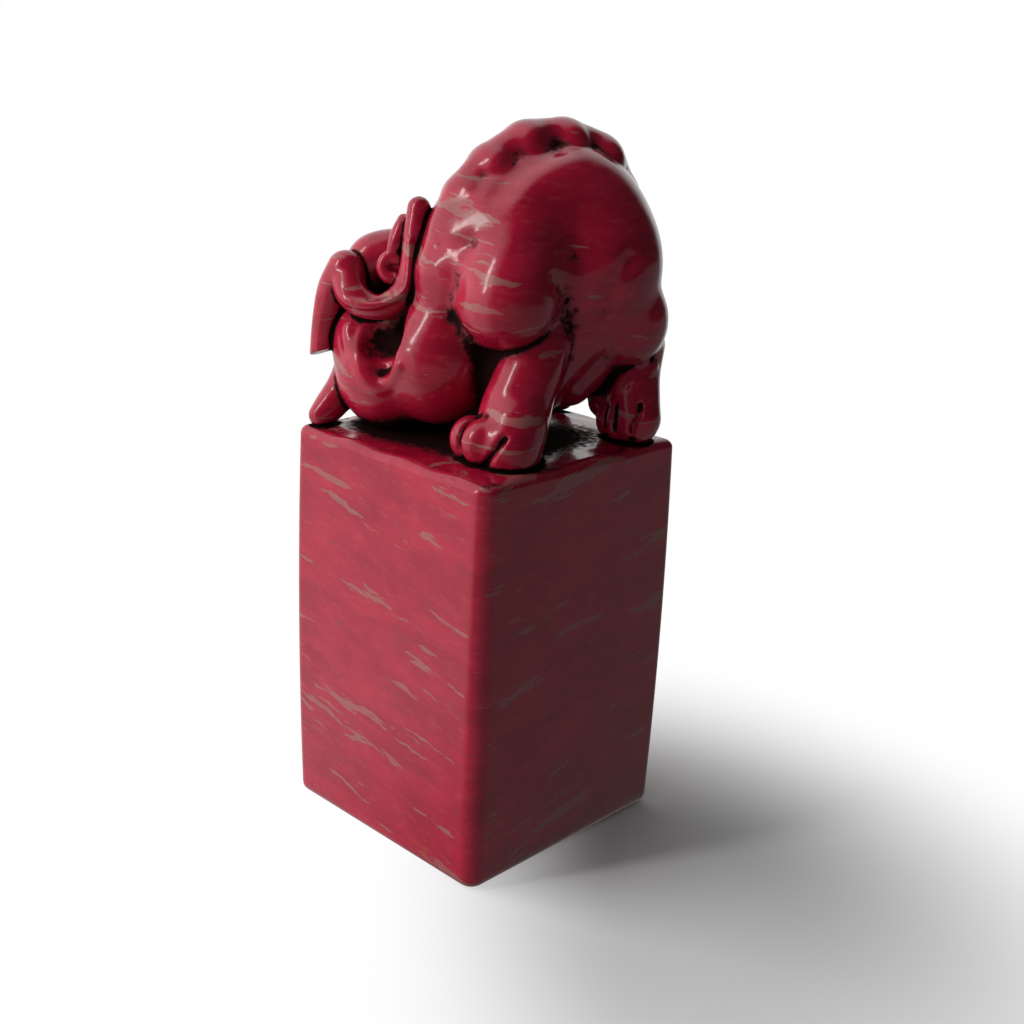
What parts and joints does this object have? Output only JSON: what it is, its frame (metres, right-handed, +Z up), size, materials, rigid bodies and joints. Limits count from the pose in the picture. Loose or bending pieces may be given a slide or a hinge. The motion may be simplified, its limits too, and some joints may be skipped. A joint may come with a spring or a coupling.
{
  "type": "seal stamp",
  "caption": "Square carved-stone seal stamp: a flat-sided block with a relief-cut printing face and a crouching horned guardian beast carved on top as the grip.",
  "frame": {"origin": "middle of the seal face, in the plane that the stamp prints with and rests on", "axes": "+Z up through the block to the beast's back; the beast faces -Y and its near flank is on +X; X and Y square to the block's sides"},
  "size_m": [0.0512, 0.0512, 0.1339],
  "materials": {
    "stone": "polished, mottled dark red with grey-tan bedding veins",
    "carved_stone": "polished, mottled dark red with pink flecks and dark grime in the cuts"
  },
  "bodies": {
    "root": {"seal_block": "stone", "beast": "carved_stone"}
  },
  "joints": []
}
